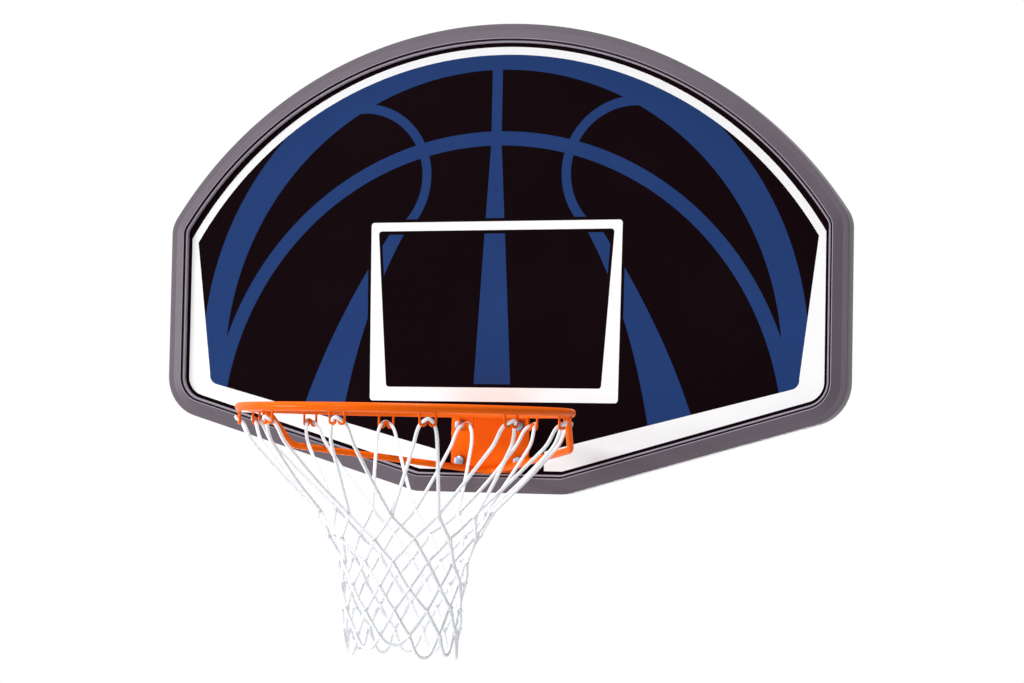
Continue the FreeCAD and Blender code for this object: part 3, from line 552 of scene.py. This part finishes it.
for start, ahead in ((root, knee), (left @ root, left @ knee)):
    along = (ahead - start).normalized()
    tilt = along.to_track_quat("Z", "Y")
    root_welds.append([
        start + along * ROOT_WELD_ALONG + tilt @ Vector((math.cos(a), math.sin(a), 0)) * ROOT_WELD_RADIUS
        for a in [math.pi / 6 * k for k in range(12)]])
weld_mesh = wires("welds", shelf_welds + foot_welds, BEAD, 10, orange, smooth_cord=True, closed=root_welds)
new_piece("welds", weld_mesh, "board", "rim")

# Net hooks: twelve steel wires bent to a wide W, welded by both legs under the ring and coated with it.
# Each holds a loop of the net over the peak in its middle.
HOOKS = 12
HOOK_STEP = 360 / HOOKS
HOOK_WIRE = 1.75 * MM
LEG, LEG_TOP = 10.8, 3
TURN, TURN_RADIUS, TURN_FALL = 6.5, 4.3, 18.8
PEAK_RADIUS, PEAK_FALL = 2.2, 16.55
hook_line = ([Vector((-LEG, LEG_TOP))] + arc((-TURN, TURN_FALL), TURN_RADIUS, 180, 0, 10)
             + arc((0, PEAK_FALL), PEAK_RADIUS, 180, 360, 8)
             + arc((TURN, TURN_FALL), TURN_RADIUS, 180, 0, 10) + [Vector((LEG, LEG_TOP))])


def round_ring(turn, across, out, fall):
    """A place by its turn from the ring's front in degrees, and its offsets across, out and down."""
    angle = math.radians(turn)
    ahead = Vector((math.sin(angle), -math.cos(angle), 0))
    aside = Vector((math.cos(angle), math.sin(angle), 0))
    return RING + ahead * (RING_RADIUS + out) + aside * across - Vector((0, 0, fall))


hook_paths = [[round_ring(HOOK_STEP * count, point.x * MM, 0, point.y * MM) for point in hook_line]
              for count in range(HOOKS)]
new_piece("net_hooks", wires("net_hooks", hook_paths, HOOK_WIRE, 12, orange), "board", "rim",
          *[f"net_hook_{count + 1:02d}" for count in range(HOOKS)])

# Rim bolts: four zinc-plated hexagon bolts, forged, with the rims of their heads rounded over.
# They go through plate, panel, block and back plate, and their nuts sit behind.
HEAD_RADIUS, HEAD_LENGTH, HEAD_MIDDLE = 8.6, 6, 65
SHANK_RADIUS, SHANK_LENGTH, SHANK_MIDDLE = 4.75, 51, 36.5
HEAD_RIM = -67 * MM
HEAD_EDGE = 1.1 * MM


def stud(bm, spot, sides, radius, length, middle):
    """A straight stud along a bolt's line, in millimetres. Gives its points."""
    return bmesh.ops.create_cone(
        bm, cap_ends=True, segments=sides, radius1=radius * MM, radius2=radius * MM, depth=length * MM,
        matrix=spot @ Matrix.Translation((0, 0, middle * MM)))["verts"]


bm = bmesh.new()
for x in (-48.5, 48.5):
    for z in (-176, -231.5):
        spot = Matrix.Translation((x * MM, 0, z * MM)) @ Matrix.Rotation(math.pi / 2, 4, "X")
        head = stud(bm, spot, 6, HEAD_RADIUS, HEAD_LENGTH, HEAD_MIDDLE)
        head_edges = {edge for vert in head for edge in vert.link_edges}
        soften(bm, [e for e in head_edges if all(v.co.y < HEAD_RIM for v in e.verts)], HEAD_EDGE, 2)
        stud(bm, spot, 24, SHANK_RADIUS, SHANK_LENGTH, SHANK_MIDDLE)
bmesh.ops.recalc_face_normals(bm, faces=bm.faces)
new_piece("rim_bolts", from_bmesh("rim_bolts", bm, zinc, smooth=35), "board", "zinc", "rim_bolts")

# Net: lengths of braided white cord. Each upper one hangs over a hook by its middle, crosses its
# neighbours on a slant and is knotted to them row by row, down to the split between the net's two bodies.
# The lower ones go on from there, and the lowest row ends in loose loops that hang unevenly.
CORD = 2.6 * MM
KNOT_TURN = 24 * MM
UPPER_CORD, LOWER_CORD = 0.56, 0.33
# Rows of knots from the top, as fall below the ring and radius. The last row is the loops' lowest points.
ROWS = ((145, 125.4), (178.3, 107.6), (211.7, 89.8), (245, 86.6), (278.3, 83.4), (311.7, 80.2), (345, 77))
SPLIT_ROW, LAST_KNOTS, LOOP_ROW = 2, 5, 6
# A cord that runs down the rows crosses a loop's two half steps, and runs up again on the same slant.
BACK_UP = 2 * LAST_KNOTS - SPLIT_ROW + 2
SHORT_LOOPS = {11: 9, 0: 22}
# The cord's way off a hook's peak: across, out from the bar's middle, and down.
OFF_HOOK = ((2.5, 4.6, 14.6), (5.6, 3.2, 16.8), (6.8, -0.5, 18.2), (9.4, -4.6, 21), (13.2, -8.6, 30),
            (15.6, -15, 46))
CROWN_OUT, CROWN_FALL = 5 * MM, 13.8 * MM
FIRST_SAG, SAG = 3 * MM, 1.6 * MM
CROSSING = 1.7 * MM
WRAP_ACROSS, WRAP_OUT = 3.3, 4.1
loose = random.Random(11)
knots = []
for row, (fall, radius) in enumerate(ROWS):
    slack = 1 + row * 0.35
    knots.append([(HOOK_STEP * (count + (row + 1) % 2 / 2) + loose.uniform(-1, 1) * slack,
                   radius - RING_SIZE + loose.uniform(-1.6, 1.6),
                   fall + loose.uniform(-1.5, 1.5) * slack) for count in range(HOOKS)])


def knot(row, half_steps, over):
    """Where a cord passes a knot, above or below the other cord. half_steps counts round the ring."""
    count = (half_steps - (row + 1) % 2) // 2
    turn, out, fall = knots[row][count % HOOKS]
    return round_ring(turn + 360 * (count // HOOKS), 0, out * MM + over * CROSSING, fall * MM)


def slack_run(start, end, sag):
    """Points between two knots: the cord hangs a little outside the straight line."""
    out = ((start + end) / 2 - RING) * Vector((1, 1, 0))
    drop = out.normalized() * loose.uniform(-0.6, 1) * sag + Vector((0, 0, -0.6 * sag))
    return [start.lerp(end, 0.12), start.lerp(end, 0.34) + drop * 0.8, start.lerp(end, 0.66) + drop,
            start.lerp(end, 0.88)]


def side_of_hook(count, side):
    """The cord from a hook's peak down one side to its knot at the split."""
    path = [round_ring(HOOK_STEP * count, side * across * MM, out * MM, fall * MM)
            for across, out, fall in OFF_HOOK]
    half_steps = 2 * count
    for row in range(SPLIT_ROW + 1):
        half_steps += side
        ahead = knot(row, half_steps, side)
        path += slack_run(path[-1], ahead, SAG if row else FIRST_SAG) + [ahead]
    return path


upper_cords = []
for count in range(HOOKS):
    right_side, left_side = side_of_hook(count, 1), side_of_hook(count, -1)
    crown = round_ring(HOOK_STEP * count, 0, CROWN_OUT, CROWN_FALL)
    upper_cords.append(left_side[::-1] + [crown] + right_side)
lower_cords = []
for count in range(HOOKS):
    half_steps = 2 * count + 1
    path = [knot(SPLIT_ROW, half_steps, 1)]
    for row in range(SPLIT_ROW + 1, LOOP_ROW):
        ahead = knot(row, half_steps + row - SPLIT_ROW, 1)
        path += slack_run(path[-1], ahead, SAG) + [ahead]
    loop = (count + 2) % HOOKS
    fall = knots[LOOP_ROW][loop][2] - SHORT_LOOPS.get(loop, 0)
    start, end = path[-1], knot(LAST_KNOTS, half_steps + BACK_UP - LAST_KNOTS, -1)
    low = start.lerp(end, 0.5)
    low.z = RING.z - fall * MM
    path += [start.lerp(low, 0.45) + (start - end) * 0.1, low + (start - end) * 0.2,
             low + (end - start) * 0.2, end.lerp(low, 0.45) + (end - start) * 0.1, end]
    for row in range(LAST_KNOTS - 1, SPLIT_ROW - 1, -1):
        ahead = knot(row, half_steps + BACK_UP - row, -1)
        path += slack_run(path[-1], ahead, SAG) + [ahead]
    lower_cords.append(path)


def wraps(first, last):
    """The turn of cord that ties each knot of some rows, as small tilted rings."""
    rings = []
    for row in range(first, last):
        for turn, out, fall in knots[row]:
            lean = loose.choice((-1, 1)) * loose.uniform(2, 3.4)
            rings.append([round_ring(turn, math.cos(a) * WRAP_ACROSS * MM,
                                     (out + math.sin(a) * WRAP_OUT) * MM, (fall + math.cos(a) * lean) * MM)
                          for a in [math.pi / 4 * k for k in range(8)]])
    return rings


PLAIT_LENGTH = 6 * MM
STRANDS = 3
braid = Finish("braided_cord", Specular_IOR_Level=0.15, Sheen_Weight=0.8, Sheen_Roughness=0.45)
along = braid.node("SeparateXYZ", Vector=braid.node("UVMap"), out=0) * (math.pi / PLAIT_LENGTH)
around = braid.node("SeparateXYZ", Vector=braid.node("UVMap"), out=1) * (math.pi * STRANDS)
plait = abs((along + around).wave()) * abs((along - around).wave())
fuzz = braid.noise(0.8 * MM, 3)
grey = braid.noise(30 * MM, 2).step(0.45, 0.8)
# Where the plait is low, between the strands, the cord is painted a darker bluish white as painted shade;
# the grey patches are random tone.
cord_white_painted_shade = braid.mix(plait * 0.6 + 0.4 - grey * 0.15, paint(240, 245, 255), paint(252, 254, 255))
braid.feed(Base_Color=cord_white_painted_shade, Roughness=0.7 + fuzz * 0.15)
braid.relief(plait + fuzz * 0.3, 0.3 * MM)


def corded(name, paths, rings, length):
    """Cords and the turns of their knots as one mesh, its UV map in metres along the cord."""
    bm = bmesh.new()
    cords = wires(name + "_runs", paths, CORD, 10, braid.material, smooth_cord=True)
    turns = wires(name + "_turns", [], CORD, 10, braid.material, smooth_cord=True, closed=rings)
    for mesh, metres in ((cords, length), (turns, KNOT_TURN)):
        for item in mesh.uv_layers[0].data:
            item.uv.x *= metres
        mesh.uv_layers[0].name = "UVMap"
        bm.from_mesh(mesh)
        bpy.data.meshes.remove(mesh)
    return from_bmesh(name, bm, braid.material, smooth=180)


upper_mesh = corded("net_upper_cords", upper_cords, wraps(0, SPLIT_ROW + 1), UPPER_CORD)
net_upper = new_piece("net_upper_cords", upper_mesh, None, "net", "net_upper")
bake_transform(net_upper)
lower_mesh = corded("net_lower_cords", lower_cords, wraps(SPLIT_ROW + 1, LOOP_ROW), LOWER_CORD)
net_lower = new_piece("net_lower_cords", lower_mesh, None, "net", "net_lower")
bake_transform(net_lower)

# Studio: a pale matt floor well below the net that keeps its shadow, and a white surround.
# The surround shows white to the camera and in reflections, and lights the board only faintly.
# Soft lamps do the rest, and the camera stands where the photograph was taken.
FLOOR_MIDDLE, FLOOR_RADIUS = (0, -0.4, -0.95), 2.6
SURROUND_LIGHT, SURROUND_WHITE = 0.24, 1.0
bm = bmesh.new()
bmesh.ops.create_circle(bm, cap_ends=True, segments=64, radius=FLOOR_RADIUS,
                        matrix=Matrix.Translation(FLOOR_MIDDLE))
floor_finish = Finish("floor_pale", Specular_IOR_Level=0.1)
floor_colour = floor_finish.mix(floor_finish.noise(0.4), paint(238, 238, 238), paint(244, 244, 244))
floor_finish.feed(Base_Color=floor_colour, Roughness=0.8)
floor = bpy.data.objects.new("floor", from_bmesh("floor", bm, floor_finish.material))
bpy.context.scene.collection.objects.link(floor)

world = bpy.data.worlds.new("studio")
bpy.context.scene.world = world
world.use_nodes = True
tree = world.node_tree
seen = tree.nodes.new("ShaderNodeLightPath")
shown = seen.outputs["Is Camera Ray"]
for ray in ("Is Glossy Ray", "Is Transmission Ray"):
    either = tree.nodes.new("ShaderNodeMath")
    either.operation = "MAXIMUM"
    tree.links.new(shown, either.inputs[0])
    tree.links.new(seen.outputs[ray], either.inputs[1])
    shown = either.outputs[0]
level = tree.nodes.new("ShaderNodeMapRange")
level.inputs["To Min"].default_value = SURROUND_LIGHT
level.inputs["To Max"].default_value = SURROUND_WHITE
tree.links.new(shown, level.inputs["Value"])
background = tree.nodes["Background"]
background.inputs["Color"].default_value = (1, 1, 1, 1)
tree.links.new(level.outputs[0], background.inputs["Strength"])


def lamp(name, place, aim, size, power):
    """A soft square lamp that faces a point."""
    light = bpy.data.lights.new(name, "AREA")
    light.size = size
    light.energy = power
    shine = bpy.data.objects.new(name, light)
    shine.location = place
    shine.rotation_euler = (Vector(aim) - Vector(place)).to_track_quat("-Z", "Y").to_euler()
    bpy.context.scene.collection.objects.link(shine)


lamp("key", (-4.6, -9.8, 4.4), (0, -0.2, 0), 1.8, 430)
lamp("top", (0, -0.5, 5.0), (0, -0.5, 0), 1.4, 225)
lamp("left", (-11.4, -6.0, 0.3), (0, -0.1, 0), 4.5, 1050)
lamp("rear", (-1.6, 4.6, -0.3), (0, 0, 0), 2.4, 170)

CAMERA_PLACE = (1.3909, -3.7041, -0.2113)
lens = bpy.data.cameras.new("camera")
lens.lens = 88.79
lens.sensor_width = 36
camera = bpy.data.objects.new("camera", lens)
right = Vector((0.93715, 0.34841, 0.01916))
down = Vector((0.00319, 0.04636, -0.99892))
forward = Vector((-0.34892, 0.9362, 0.04234))
facing = Matrix((right, -down, -forward)).transposed().to_4x4()
camera.matrix_world = Matrix.Translation(CAMERA_PLACE) @ facing
bpy.context.scene.collection.objects.link(camera)
bpy.context.scene.camera = camera
bpy.context.scene.view_settings.view_transform = "Standard"
